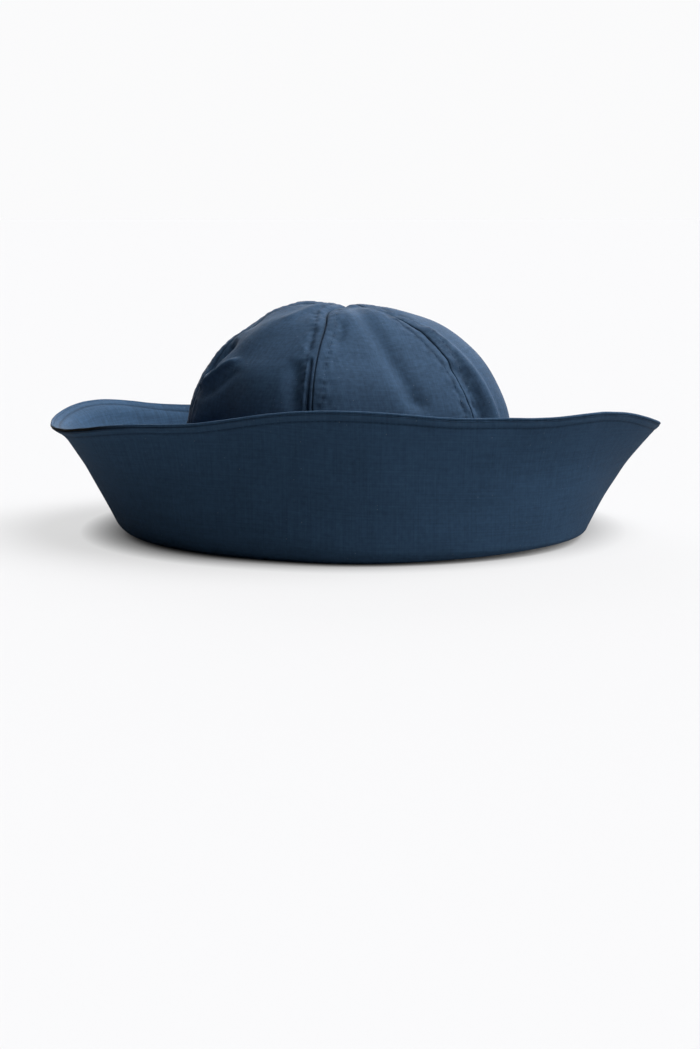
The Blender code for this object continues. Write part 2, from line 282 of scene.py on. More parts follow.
# %% Define the crown's relief
PANEL_PUFF = 0.0016
PANEL_FLATNESS = (0.0065, 0.0004, 0.0025, 0.0025, 0.0004, 0.0065)
FLAT_FROM = 0.030
FLAT_OVER = 0.050
SEAM_DIP = 0.0010
SEAM_DIP_SHARPNESS = 10
PUFF_BEGINS = 0.030
PUFF_ENDS = 0.020
FOLDS_END = 0.012
BAND_WIDTH = 0.0058
BAND_HEIGHT = 0.00017
BAND_SLOPE = 0.0022
FURROW_DEPTH = 0.00011
FURROW_REACH = 0.0008
PUCKER_HEIGHT = 0.00026
PUCKER_LENGTH = 0.0048
PUCKER_REACH = 0.0055
PUCKER_STRETCH = 0.7
PUCKER_SEED = 11
SEAMS_APART = 0.4
CLOTH_WAVE_HEIGHT = 0.00035
CLOTH_WAVE_LENGTH = 0.045
CLOTH_WAVE_SEED = 5
TOP_PIT_DEPTH = 0.0012
TOP_PIT_REACH = 0.0030


def crown_relief(panel, side, azimuth, from_top, across, from_seam, radius):
    """Return how far the cloth lies outside the plain dome."""
    from_foot = CROWN_DEPTH - from_top
    room = smooth_step(from_top / PUFF_BEGINS)
    puffed = room * smooth_step(from_foot / PUFF_ENDS)
    flat = PANEL_FLATNESS[panel] * smooth_step((from_top - FLAT_FROM) / FLAT_OVER)
    out = (PANEL_PUFF - flat) * (1.0 - across**2) * puffed
    out -= SEAM_DIP * np.abs(across) ** SEAM_DIP_SHARPNESS * puffed
    out += fold_height(azimuth, from_top, radius) * smooth_step(from_foot / FOLDS_END)
    out += BAND_HEIGHT * smooth_step((BAND_WIDTH - from_seam) / BAND_SLOPE + 0.5) * room
    out -= FURROW_DEPTH * hill(from_seam, BAND_WIDTH, FURROW_REACH) * room
    out += tuck_height(panel, side, from_top, from_seam)
    seam_number = np.where(side < 0.0, panel, (panel + 1) % len(CROWN_SEAMS))
    apart = SEAMS_APART * (seam_number + 0.5 * side)
    along = np.column_stack((from_top, PUCKER_STRETCH * from_seam, apart))
    pucker = soft_waves(along, PUCKER_LENGTH, PUCKER_SEED)
    out += PUCKER_HEIGHT * pucker * hill(from_seam, BAND_WIDTH, PUCKER_REACH) * room
    turn = azimuth * DEGREE
    spots = np.column_stack((radius * np.sin(turn), radius * np.cos(turn), from_top))
    out += CLOTH_WAVE_HEIGHT * soft_waves(spots, CLOTH_WAVE_LENGTH, CLOTH_WAVE_SEED) * room
    return out - TOP_PIT_DEPTH * hill(from_top, 0.0, TOP_PIT_REACH)


print("raised band beside each seam:", BAND_WIDTH / MM, "mm wide")

# %% [markdown]
# From a flat grid to a piece of cloth
# Every cloth starts as a flat grid, which Blender makes in one step. A function then says where
# each point of the grid lies on the hat, and how far it is along the cloth, which becomes the UV
# map. The UV map is in metres, so a thread drawn on it has its real width on every piece. A grid is
# used and not a sculpted lump because its rows can follow the seams. The wall is given by a
# modifier on the hidden side. It is held thinner where the rows lie closer than the cloth is
# thick, or it would fold through itself there.


# %% Define the cloth maker
CLOSING_GAP = 0.00001


def finished(bm, name):
    """Turn a bmesh into a smooth mesh."""
    mesh = bpy.data.meshes.new(name)
    bm.to_mesh(mesh)
    bm.free()
    mesh.shade_smooth()
    return mesh


def cloth_mesh(name, columns, rows, shape, flip=False, closed=False):
    """Return a mesh from a grid; shape turns columns and rows into places, UVs, wear and painted
    shade.
    """
    bm = bmesh.new()
    bmesh.ops.create_grid(bm, x_segments=columns, y_segments=rows, size=0.5)
    column = np.array([round((v.co.x + 0.5) * columns) for v in bm.verts])
    row = np.array([round((v.co.y + 0.5) * rows) for v in bm.verts])
    places, flat, wear = shape(column, row)
    uv_layer = bm.loops.layers.uv.new("cloth")
    wear_and_shade_layer = bm.verts.layers.float.new("wear")
    for face in bm.faces:
        for loop in face.loops:
            loop[uv_layer].uv = flat[loop.vert.index]
    for vertex, place, worn in zip(bm.verts, places, wear):
        vertex.co = place
        vertex[wear_and_shade_layer] = worn
    if closed:
        bmesh.ops.remove_doubles(bm, verts=bm.verts, dist=CLOSING_GAP)
    if flip:
        bmesh.ops.reverse_faces(bm, faces=bm.faces)
    return finished(bm, name)


def add_piece(name, mesh):
    """Put a mesh into the scene and let it ride on the hat."""
    piece = add_object(name, mesh)
    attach(piece, "root")
    return piece


def give_thickness(piece, thickness):
    """Thicken a cloth towards its hidden side."""
    wall = piece.modifiers.new("cloth", "SOLIDIFY")
    wall.thickness = thickness
    wall.offset = -1.0
    wall.use_even_offset = False
    wall.thickness_clamp = 1.0


print("rows closer than", CLOSING_GAP / MM, "mm are closed into one")

# %% [markdown]
# Crown panels
# A panel is a tapered leaf of cloth. Its columns run from the top to the head seam. Near both seams
# they lie close together, and the last ones follow the roll into the seam: a quarter of a small
# circle and then the allowance that hangs inside. The rows end in the same roll at the head seam.
# Wear is written beside the shape, with painted shade in it: it is below 0 in the seams and in dots
# along the stitches, where the colour is darkened partly for dye that stays dark and partly as
# painted shade in the seam and the stitch holes.

# %% Lay out a panel's columns and rows
PANEL_SMOOTH_COLUMNS = 84
PANEL_SMOOTH_ROWS = 128
ROLL_STEPS = 4
TAIL_STEPS = 1
SEAM_ROLL = 0.0009
SEAM_TAIL = 0.0010
SEAM_GAP = 0.0001
TOP_RADIUS = 0.0003
COLUMN_CROWDING = 1.7
# The seam and dots along the stitch row are darkened: partly dye that stays dark, partly painted
# shade.
SEAM_DYE_AND_SHADE = 0.75
SEAM_DYE_AND_SHADE_REACH = 0.0009
SEAM_LINE_FADES = 0.060
SEAM_LINE_FADE = 0.030
SEAM_LINE_LOSS = 0.5
NARROW_ROLL, NARROW_GAP = 0.5, 0.1
DOT_LENGTH = 0.0052
DOT_STRETCH = 0.5
DOT_CONTRAST = 0.8
DOT_SEED = 31
DOTS_DYE_AND_SHADE = 0.42
DOTS_REACH = 0.0016


def rolled_edge(step):
    """Return the way back from the seam and the drop into it, as shares of the roll's radius."""
    turn = np.clip(step / ROLL_STEPS, 0.0, 1.0) * 0.5 * math.pi
    tail = np.clip(step - ROLL_STEPS, 0.0, TAIL_STEPS) / TAIL_STEPS
    return 1.0 - np.sin(turn), 1.0 - np.cos(turn), tail


def crown_place(panel, side, from_top, from_seam, drop=0.0):
    """Return the place on a panel beside its first (-1) or second (1) seam, and its half width."""
    radius, height, out_r, out_z = dome_at(from_top)
    start = seam_azimuth(panel, from_top)
    end = seam_azimuth(panel + 1, from_top)
    half_width = 0.5 * (end - start) * DEGREE * radius
    across = side * (1.0 - from_seam / half_width)
    azimuth = 0.5 * (start + end) + 0.5 * across * (end - start)
    out = crown_relief(panel, side, azimuth, from_top, across, from_seam, radius)
    reach = radius + (out - drop) * out_r
    places = np.column_stack((
        CROWN_CENTRE_X + reach * np.sin(azimuth * DEGREE),
        -reach * np.cos(azimuth * DEGREE),
        height + (out - drop) * out_z,
    ))
    outward = np.column_stack((
        out_r * np.sin(azimuth * DEGREE),
        -out_r * np.cos(azimuth * DEGREE),
        out_z,
    ))
    return places, outward, across * half_width


def half_width_at(panel, from_top):
    """Return half the width of a panel."""
    span = seam_azimuth(panel + 1, from_top) - seam_azimuth(panel, from_top)
    return 0.5 * span * DEGREE * dome_at(from_top)[0]


def panel_shape(panel, column, row):
    """Return places, UV, and wear with painted shade, for one crown panel."""
    edge_steps = ROLL_STEPS + TAIL_STEPS
    down = PANEL_SMOOTH_ROWS + edge_steps - row
    share = np.clip(down, 0, PANEL_SMOOTH_ROWS) / PANEL_SMOOTH_ROWS
    foot_back, foot_drop, foot_tail = rolled_edge(down - PANEL_SMOOTH_ROWS)
    top = float(np.interp(TOP_RADIUS, DOME_R[:DOME_STEPS], DOME_S[:DOME_STEPS]))
    lowest = CROWN_DEPTH - SEAM_ROLL
    from_top = top + (lowest - top) * share + SEAM_ROLL * (1.0 - foot_back) * (share == 1.0)

    half_columns = 0.5 * PANEL_SMOOTH_COLUMNS
    place = column - edge_steps - half_columns
    side = np.where(place < 0.0, -1.0, 1.0)
    inner = np.minimum(np.abs(place), half_columns) / half_columns
    inner = 1.0 - (1.0 - inner) ** COLUMN_CROWDING
    back, drop, tail = rolled_edge(np.abs(place) - half_columns)
    half_width = half_width_at(panel, from_top)
    roll = np.minimum(SEAM_ROLL, NARROW_ROLL * half_width)
    gap = np.minimum(SEAM_GAP, NARROW_GAP * half_width)
    rolled = np.where(inner < 1.0, roll, roll * back) + gap
    from_seam = np.where(inner < 1.0, half_width - (half_width - roll - gap) * inner, rolled)
    drop = roll * drop * (inner == 1.0) + SEAM_TAIL * tail * roll / SEAM_ROLL
    drop += SEAM_ROLL * foot_drop + SEAM_TAIL * foot_tail
    places, _, beside = crown_place(panel, side, from_top, from_seam, drop)
    apart = SEAMS_APART * (panel + 0.5 * side)
    line = np.column_stack((from_top, apart, DOT_STRETCH * from_seam))
    dots = smooth_step(0.5 + DOT_CONTRAST * soft_waves(line, DOT_LENGTH, DOT_SEED))
    faded = smooth_step((from_top - SEAM_LINE_FADES) / SEAM_LINE_FADE)
    # Painted shade and dye that stays dark: the wear goes below 0 along the seam and the stitch
    # row.
    seam_line = hill(from_seam, 0.0, SEAM_DYE_AND_SHADE_REACH) * (roll / SEAM_ROLL)
    stitch_line = hill(from_seam, BAND_WIDTH, DOTS_REACH) * smooth_step(from_top / PUFF_BEGINS)
    wear = -SEAM_DYE_AND_SHADE * seam_line * (1.0 - SEAM_LINE_LOSS * faded)
    wear -= DOTS_DYE_AND_SHADE * dots * stitch_line
    return places, np.column_stack((beside, -from_top)), wear


# %% Make the crown
CROWN_CLOTH = 0.0007
crown_panels = []
for panel in range(len(CROWN_SEAMS)):
    extra = 2 * (ROLL_STEPS + TAIL_STEPS)
    mesh = cloth_mesh(
        "crown_panel",
        PANEL_SMOOTH_COLUMNS + extra,
        PANEL_SMOOTH_ROWS + extra // 2,
        lambda column, row: panel_shape(panel, column, row),
    )
    piece = add_piece(f"crown_panel_{panel + 1}_cloth", mesh)
    give_thickness(piece, CROWN_CLOTH)
    crown_panels.append(piece)
print(len(crown_panels), "crown panels of", len(mesh.polygons), "faces each")

# %% [markdown]
# The brim's side line
# Seen in a cut from the head seam outwards, the brim drops to the floor, lies flat on a narrow
# ring, folds up and leans out to the rim. The rim is oval and its height changes all round. Rows of
# numbers give the rim's height and the fold at a few azimuths, and a closed spline joins them. The
# cut itself is a line of straight runs with rounded corners, because that takes few numbers.

# %% Name the brim's shape
BRIM_LAYER = 0.0010
CLEARANCE = 0.0003
RIM_HALF_LENGTH = 0.1762
RIM_HALF_WIDTH = 0.1400
HEAD_SEAM_HEIGHT = 0.0200
FLANGE_INSIDE = 0.0018
FLANGE_OUTSIDE = 0.0030
FLANGE_ROLL = 0.0015
HEEL_RADIUS = 0.1180
HEEL_ROLL = 0.0080
SOLE_INSIDE = 0.1215
SOLE_OUTSIDE = 0.1262
WAIST_AT = 0.60
WAIST_ROLL = 0.0800
FRONT_HOLLOW = 0.0015
SIDE_HOLLOW = 0.0038
LIP_LENGTH = 0.0085
LIP_ROLL = 0.0150
BEAD_RADIUS = 0.00075
GROOVE_BELOW_BEAD = 0.0010
FLOOR = 0.5 * CLEARANCE + BRIM_LAYER

BrimRow = namedtuple("BrimRow", "azimuth rim_height fold_radius fold_roll fold_lift lip_flare")
BRIM_ROWS = [
    BrimRow(-180, 0.0560, 0.1390, 0.009, 0.0000, 0.0010),
    BrimRow(-150, 0.0595, 0.1385, 0.010, 0.0000, 0.0010),
    BrimRow(-136, 0.0603, 0.1382, 0.012, 0.0000, 0.0015),
    BrimRow(-126, 0.0630, 0.1378, 0.013, 0.0000, 0.0025),
    BrimRow(-116, 0.0672, 0.1368, 0.014, 0.0000, 0.0034),
    BrimRow(-106, 0.0679, 0.1358, 0.014, 0.0000, 0.0040),
    BrimRow(-95, 0.0648, 0.1346, 0.013, 0.0000, 0.0040),
    BrimRow(-80, 0.0621, 0.1352, 0.013, 0.0000, 0.0038),
    BrimRow(-66, 0.0647, 0.1382, 0.014, 0.0000, 0.0034),
    BrimRow(-54, 0.0690, 0.1396, 0.014, 0.0000, 0.0026),
    BrimRow(-45, 0.0708, 0.1400, 0.014, 0.0000, 0.0020),
    BrimRow(-36, 0.0724, 0.1400, 0.013, 0.0000, 0.0014),
    BrimRow(-20, 0.0787, 0.1395, 0.011, 0.0000, 0.0010),
    BrimRow(-4, 0.0813, 0.1405, 0.007, 0.0004, 0.0010),
    BrimRow(11, 0.0792, 0.1410, 0.005, 0.0012, 0.0010),
    BrimRow(22, 0.0768, 0.1416, 0.004, 0.0020, 0.0010),
    BrimRow(32, 0.0762, 0.1421, 0.003, 0.0026, 0.0010),
    BrimRow(42, 0.0752, 0.1425, 0.002, 0.0032, 0.0010),
    BrimRow(54, 0.0759, 0.1414, 0.002, 0.0034, 0.0014),
    BrimRow(65, 0.0729, 0.1384, 0.002, 0.0030, 0.0016),
    BrimRow(78, 0.0659, 0.1345, 0.003, 0.0018, 0.0018),
    BrimRow(92, 0.0598, 0.1329, 0.006, 0.0004, 0.0020),
    BrimRow(115, 0.0525, 0.1360, 0.008, 0.0000, 0.0016),
    BrimRow(145, 0.0495, 0.1385, 0.009, 0.0000, 0.0010),
]


def closed_curve(rows, column):
    """Return a smooth closed curve through one column of a table, as a function of azimuth."""
    azimuths = np.array([row.azimuth for row in rows], dtype=float)
    values = np.array([getattr(row, column) for row in rows], dtype=float)
    count = len(rows)
    spans = np.diff(np.append(azimuths, azimuths[0] + 360.0))
    slopes = (np.roll(values, -1) - values) / spans
    system = np.zeros((count, count))
    change = np.zeros(count)
    for i in range(count):
        after = (i + 1) % count
        system[i, i - 1] += spans[i - 1]
        system[i, i] += 2.0 * (spans[i - 1] + spans[i])
        system[i, after] += spans[i]
        change[i] = 6.0 * (slopes[i] - slopes[i - 1])
    bends = np.linalg.solve(system, change)

    def value(azimuth):
        turned = (azimuth - azimuths[0]) % 360.0 + azimuths[0]
        i = int(np.searchsorted(azimuths, turned, side="right")) - 1
        after = (i + 1) % count
        step = turned - azimuths[i]
        rest = spans[i] - step
        cubic = (bends[i] * rest**3 + bends[after] * step**3) / (6.0 * spans[i])
        low = (values[i] / spans[i] - bends[i] * spans[i] / 6.0) * rest
        high = (values[after] / spans[i] - bends[after] * spans[i] / 6.0) * step
        return float(cubic + low + high)

    return value


RIM_HEIGHT, FOLD_RADIUS, FOLD_ROLL, FOLD_LIFT, LIP_FLARE = (
    closed_curve(BRIM_ROWS, name) for name in BrimRow._fields[1:]
)
print("rim heights from", round(min(map(RIM_HEIGHT, range(360))) / MM, 1), "to",
      round(max(map(RIM_HEIGHT, range(360))) / MM, 1), "mm")

# %% Draw a cut through the brim
Corner = namedtuple("Corner", "place roll steps runs")
STRAIGHT_CORNER = 0.002
RUN_FLANGE, RUN_LEG, RUN_SOLE, RUN_WALL, RUN_LIP = 2, 8, 3, 14, 12
FLANGE_STEPS, HEEL_STEPS, FOLD_STEPS, WAIST_STEPS, LIP_STEPS = 3, 6, 14, 8, 6


def rounded_line(corners):
    """Round the corners of an open line and divide each straight run after it."""
    line = []
    here = np.array(corners[0].place)
    for before, corner, after in zip(corners, corners[1:], corners[2:]):
        place = np.array(corner.place)
        back = np.array(before.place) - place
        ahead = np.array(after.place) - place
        back /= np.linalg.norm(back)
        ahead /= np.linalg.norm(ahead)
        half_angle = 0.5 * math.acos(float(np.clip(back @ ahead, -1.0, 1.0)))
        turn = math.pi - 2.0 * half_angle
        spread = np.arange(corner.steps + 1) / max(corner.steps, 1) - 0.5 * (corner.steps > 0)
        bend = [place + ahead * STRAIGHT_CORNER * share for share in spread]
        if corner.steps and turn > DEGREE:
            middle = (back + ahead) / np.linalg.norm(back + ahead)
            centre = place + middle * corner.roll / math.sin(half_angle)
            start = place + back * corner.roll / math.tan(half_angle) - centre
            end = place + ahead * corner.roll / math.tan(half_angle) - centre
            bend = []
            for step in range(corner.steps + 1):
                share = step / corner.steps
                weights = np.sin(np.array((1.0 - share, share)) * turn) / math.sin(turn)
                bend.append(centre + start * weights[0] + end * weights[1])
        for step in range(before.runs):
            line.append(here + (bend[0] - here) * step / before.runs)
        line += bend[:-1]
        here = bend[-1]
    last = np.array(corners[-1].place)
    for step in range(corners[-2].runs + 1):
        line.append(here + (last - here) * step / corners[-2].runs)
    return np.array(line)


def rim_radius(azimuth):
    """Return the radius of the oval rim."""
    across = RIM_HALF_WIDTH * math.sin(azimuth * DEGREE)
    along = RIM_HALF_LENGTH * math.cos(azimuth * DEGREE)
    return RIM_HALF_LENGTH * RIM_HALF_WIDTH / math.hypot(across, along)


def brim_cut(azimuth):
    """Return the line between the brim's two layers at one azimuth, from head seam to rim."""
    head = HEAD_SEAM_RADIUS + CROWN_CENTRE_X * math.sin(azimuth * DEGREE)
    fold = np.array((FOLD_RADIUS(azimuth), FLOOR + max(FOLD_LIFT(azimuth), 0.0)))
    rim = np.array((rim_radius(azimuth), RIM_HEIGHT(azimuth)))
    wall = (rim - fold) / np.linalg.norm(rim - fold)
    inward = np.array((-wall[1], wall[0]))
    hollow = FRONT_HOLLOW + (SIDE_HOLLOW - FRONT_HOLLOW) * math.sin(azimuth * DEGREE) ** 2
    waist = fold + (rim - fold) * WAIST_AT + inward * hollow
    lip = rim - wall * LIP_LENGTH + inward * LIP_FLARE(azimuth)
    bead = rim - wall * BEAD_RADIUS
    return rounded_line([
        Corner((head - FLANGE_INSIDE, HEAD_SEAM_HEIGHT), 0.0, 0, RUN_FLANGE),
        Corner((head + FLANGE_OUTSIDE, HEAD_SEAM_HEIGHT), FLANGE_ROLL, FLANGE_STEPS, RUN_LEG),
        Corner((HEEL_RADIUS, FLOOR), HEEL_ROLL, HEEL_STEPS, 1),
        Corner((SOLE_INSIDE, FLOOR), 0.0, 0, RUN_SOLE),
        Corner((SOLE_OUTSIDE, FLOOR), 0.0, 0, 1),
        Corner(fold, FOLD_ROLL(azimuth), FOLD_STEPS, RUN_WALL),
        Corner(waist, WAIST_ROLL, WAIST_STEPS, RUN_WALL),
        Corner(lip, LIP_ROLL, LIP_STEPS, RUN_LIP),
        Corner(bead - wall * GROOVE_BELOW_BEAD, 0.0, 0, 1),
        Corner(bead, 0.0, 0, 1),
    ])


print("a cut through the brim at the front has", len(brim_cut(0.0)), "points")

# %% [markdown]
# The brim's two faces
# The brim is two cloths sewn together at the rim and turned, so the upper cloth rolls over the edge
# and the under cloth starts in a groove just below it. A row of stitches holds both flat. The cut
# above runs between the two cloths. Each face is found by stepping off that line to one side, a
# little more on the band above the stitches and a little less in the furrow that they pull.

# %% Find both faces in every cut
BRIM_SMOOTH_COLUMNS = 480
ROW_FROM_RIM = 0.0054
EDGE_PRESSED = 0.00048
EDGE_PRESSED_REACH = 0.0034
RIM_BAND_SWELL = 0.00012
RIM_BAND_SHARE = 0.35
RIM_FURROW = 0.00026
RIM_FURROW_REACH = 0.0007
BELOW_ROW_SWELL = 0.00010
BELOW_ROW_AT = 0.0105
BELOW_ROW_REACH = 0.0030
BRIM_WAVE_HEIGHT = 0.0007
BRIM_WAVE_LENGTH = 0.085
BRIM_WAVE_SEED = 21
BRIM_RIPPLE_HEIGHT = 0.00018
BRIM_RIPPLE_LENGTH = 0.014
BRIM_RIPPLE_REACH = 0.009
BRIM_RIPPLE_SEED = 22
STILL_BELOW = 0.012
WAVE_FADE = 0.020


def turned(azimuth, line):
    """Return points in space for points of a cut, given as radius and height."""
    turn = azimuth * DEGREE
    return np.column_stack((line[:, 0] * math.sin(turn), -line[:, 0] * math.cos(turn), line[:, 1]))


def face_cuts(azimuth):
    """Return the upper and the under face in the cut at one azimuth."""
    line = brim_cut(azimuth)
    along = np.gradient(line, axis=0)
    along /= np.linalg.norm(along, axis=1)[:, None]
    upward = np.column_stack((-along[:, 1], along[:, 0]))
    length = np.linalg.norm(np.diff(line, axis=0), axis=1)
    from_rim = BEAD_RADIUS + np.append(np.cumsum(length[::-1])[::-1], 0.0)
    spots = turned(azimuth, line)
    free = smooth_step((line[:, 1] - STILL_BELOW) / WAVE_FADE) * (line[:, 0] > HEEL_RADIUS)
    wave = BRIM_WAVE_HEIGHT * soft_waves(spots, BRIM_WAVE_LENGTH, BRIM_WAVE_SEED)
    ripple = soft_waves(spots, BRIM_RIPPLE_LENGTH, BRIM_RIPPLE_SEED)
    wave += BRIM_RIPPLE_HEIGHT * ripple * hill(from_rim, 0.0, BRIM_RIPPLE_REACH)
    line = line + upward * (wave * free)[:, None]
    swell = RIM_BAND_SWELL * hill(from_rim, 0.5 * ROW_FROM_RIM, RIM_BAND_SHARE * ROW_FROM_RIM)
    swell += BELOW_ROW_SWELL * hill(from_rim, BELOW_ROW_AT, BELOW_ROW_REACH)
    swell -= RIM_FURROW * hill(from_rim, ROW_FROM_RIM, RIM_FURROW_REACH)
    swell -= EDGE_PRESSED * hill(from_rim, 0.0, EDGE_PRESSED_REACH)
    step = (0.5 * CLEARANCE + BRIM_LAYER + swell)[:, None]
    return line, along, upward, step, from_rim


print("cuts round the brim:", BRIM_SMOOTH_COLUMNS)


# %% Roll both cloths over at the rim
BEAD_STEPS = 9
BEAD_TURNS = np.linspace(0.08, 1.0, BEAD_STEPS) * math.pi
BEAD_TAIL = 0.00030
BEAD_TUCK = 0.00040
BEAD_TUCK_TURNS = np.linspace(0.25, 0.5, 2) * math.pi
UNDER_TUCK = 0.00022
UNDER_TUCK_TURNS = np.linspace(0.2, 0.5, 3) * math.pi
UNDER_TUCK_TAIL = 0.6
# Stitch row and groove are darkened: partly dye that stays dark, partly painted shade.
ROW_DYE_AND_SHADE, ROW_DYE_AND_SHADE_REACH = 0.45, 0.0006
GROOVE_DYE_AND_SHADE_REACH = 0.0005
BAND_RUBBED, BAND_RUBBED_REACH = 0.35, 0.0018
# The bead's crest is rubbed pale; SHADED darkens its lower half on the hat's left side, which is
# painted shade.
CREST_RUBBED, CREST_AT, CREST_REACH = 0.5, 0.35, 2.5
SHADED, SHADED_FROM, SHADED_OVER = 1.3, 0.30, 2.0
LEFT_END_STARTS, LEFT_END_FADE, LEFT_END_STOPS = -46.0, 16.0, -170.0


def upper_face(azimuth):
    """Return the upper cloth's face from the head seam up and over the rim, and its wear and
    painted shade.
    """
    line, along, upward, step, from_rim = face_cuts(azimuth)
    face = line[:-1] + upward[:-1] * step[:-1]
    centre, ahead, aside = line[-1], along[-1], upward[-1]
    bead = [
        centre + BEAD_RADIUS * (math.cos(turn) * aside + math.sin(turn) * ahead)
        for turn in BEAD_TURNS
    ]
    edge = bead[-1] - BEAD_TAIL * ahead
    for turn in BEAD_TUCK_TURNS:
        bead.append(edge + BEAD_TUCK * ((1.0 - math.cos(turn)) * aside - math.sin(turn) * ahead))
    # Painted shade and dye that stays dark: the stitch row is darkened.
    wear = -ROW_DYE_AND_SHADE * hill(from_rim[:-1], ROW_FROM_RIM, ROW_DYE_AND_SHADE_REACH)
    round_bead = np.arange(len(bead))
    crest_wear_and_shade = CREST_RUBBED * hill(round_bead, CREST_AT * BEAD_STEPS, CREST_REACH)
    # Painted shade: on the hat's left side, which faces away from the lamps, the bead's lower half
    # is darkened.
    left = (azimuth + 180.0) % 360.0 - 180.0
    shade_side = smooth_step((LEFT_END_STARTS - left) / LEFT_END_FADE) * (left > LEFT_END_STOPS)
    below = smooth_step((round_bead - SHADED_FROM * BEAD_STEPS) / SHADED_OVER)
    crest_wear_and_shade -= SHADED * shade_side * below
    return np.vstack((face, bead)), np.append(wear, crest_wear_and_shade)


def under_face(azimuth):
    """Return the under cloth's face from the head seam up to the groove, and its wear and painted
    shade.
    """
    line, along, upward, step, from_rim = face_cuts(azimuth)
    face = line[:-1] - upward[:-1] * step[:-1]
    ahead, aside = along[-2], upward[-2]
    tuck = [
        face[-1] + UNDER_TUCK * ((1.0 - math.cos(turn)) * aside + math.sin(turn) * ahead)
        for turn in UNDER_TUCK_TURNS
    ]
    tuck.append(tuck[-1] + UNDER_TUCK * UNDER_TUCK_TAIL * aside)
    wear = BAND_RUBBED * hill(from_rim[:-1], 0.5 * ROW_FROM_RIM, BAND_RUBBED_REACH)
    # Painted shade and dye that stays dark in the groove under the bead and along the stitch row.
    wear -= hill(from_rim[:-1], from_rim[-2], GROOVE_DYE_AND_SHADE_REACH)
    wear -= ROW_DYE_AND_SHADE * hill(from_rim[:-1], ROW_FROM_RIM, ROW_DYE_AND_SHADE_REACH)
    return np.vstack((face, tuck)), np.append(wear, np.zeros(len(tuck)))


print("points in a cut:", len(upper_face(0.0)[0]), "upper,", len(under_face(0.0)[0]), "under")

# %% Make the brim
UV_RADIUS = 0.150
BRIM_CLOTH = 0.0007


def brim_shape(face_of):
    """Return the shape function of one brim layer, and its number of rows."""
    turns = [360.0 * i / BRIM_SMOOTH_COLUMNS for i in range(BRIM_SMOOTH_COLUMNS)]
    cuts = [face_of(azimuth) for azimuth in turns]
    rows = len(cuts[0][0])
    places = np.array([turned(azimuth, cut[0]) for azimuth, cut in zip(turns, cuts)])
    wear = np.array([cut[1] for cut in cuts])
    steps = np.linalg.norm(np.diff(places, axis=1), axis=2)
    along = np.concatenate((np.zeros((len(turns), 1)), np.cumsum(steps, axis=1)), axis=1)

    def shape(column, row):
        closed = column % BRIM_SMOOTH_COLUMNS
        round_it = 2.0 * math.pi * UV_RADIUS * column / BRIM_SMOOTH_COLUMNS
        flat = np.column_stack((round_it, along[closed, row]))
        return places[closed, row], flat, wear[closed, row]

    return shape, rows - 1


def add_brim(name, face_of, flip):
    """Add one of the brim's cloths."""
    shape, rows = brim_shape(face_of)
    mesh = cloth_mesh(name, BRIM_SMOOTH_COLUMNS, rows, shape, flip=flip, closed=True)
    piece = add_piece(name, mesh)
    give_thickness(piece, BRIM_CLOTH)
    print(name, "has", len(mesh.polygons), "faces")
    return piece


brim_upper = add_brim("brim_upper_cloth", upper_face, flip=True)
brim_under = add_brim("brim_under_cloth", under_face, flip=False)

# %% [markdown]
# Stitches
# The thread is navy like the cloth, so the rows hardly show from afar, but they give the seams
# their scale. Its navy is darker than the cloth's, which is partly painted shade for the furrow
# that each stitch sinks into. One stitch is a short thread, thick in the middle, whose ends dip
# into the cloth. It is a stretched ball of 24 faces, since there are more than a thousand of them,
# set every three millimetres along a path on the cloth's face.

# %% Define a row of stitches
STITCH_PITCH = 0.0030
STITCH_LENGTH = 0.0024
STITCH_WIDTH = 0.00042
STITCH_SINK = 0.00012


def sew(bm, path, outward):
    """Sew a row of stitches along a path of points with outward directions."""
    steps = np.linalg.norm(np.diff(path, axis=0), axis=1)
    along = np.append(0.0, np.cumsum(steps))
    count = int(along[-1] / STITCH_PITCH)

    def at(distance, values):
        return Vector([np.interp(distance, along, values[:, axis]) for axis in range(3)])

    for number in range(count):
        middle = (number + 0.5) * along[-1] / count
        start = at(middle - 0.5 * STITCH_LENGTH, path)
        end = at(middle + 0.5 * STITCH_LENGTH, path)
        up = at(middle, outward)
        way = (end - start).normalized()
        up = (up - way * up.dot(way)).normalized()
        side = up.cross(way)
        half = 0.5 * STITCH_WIDTH
        frame_of = Matrix((side * half, up * half, way * 0.5 * STITCH_LENGTH)).transposed()
        place = at(middle, path) - up * STITCH_SINK
        matrix = Matrix.Translation(place) @ frame_of.to_4x4()
        bmesh.ops.create_uvsphere(bm, u_segments=6, v_segments=4, radius=1.0, matrix=matrix)
    return count


def add_stitches(name, rows):
    """Add a piece of rows of stitches; a row is a path and its outward directions."""
    bm = bmesh.new()
    count = sum(sew(bm, path, outward) for path, outward in rows)
    print(name, "has", count, "stitches")
    return add_piece(name, finished(bm, name))


# %% Sew the crown and the brim
ROW_STARTS = 0.010
ROW_ENDS = 0.002
NARROW_ROW = 0.6
PATH_POINTS = 400


def crown_rows(panel):
    """Return the rows of stitches beside both seams of a panel."""
    from_top = np.linspace(ROW_STARTS, CROWN_DEPTH - ROW_ENDS, PATH_POINTS)
    from_seam = np.minimum(BAND_WIDTH, NARROW_ROW * half_width_at(panel, from_top))
    rows = []
    for side in (-1.0, 1.0):
        places, outward, _ = crown_place(panel, np.full(PATH_POINTS, side), from_top, from_seam)
        rows.append((places, outward))
    return rows


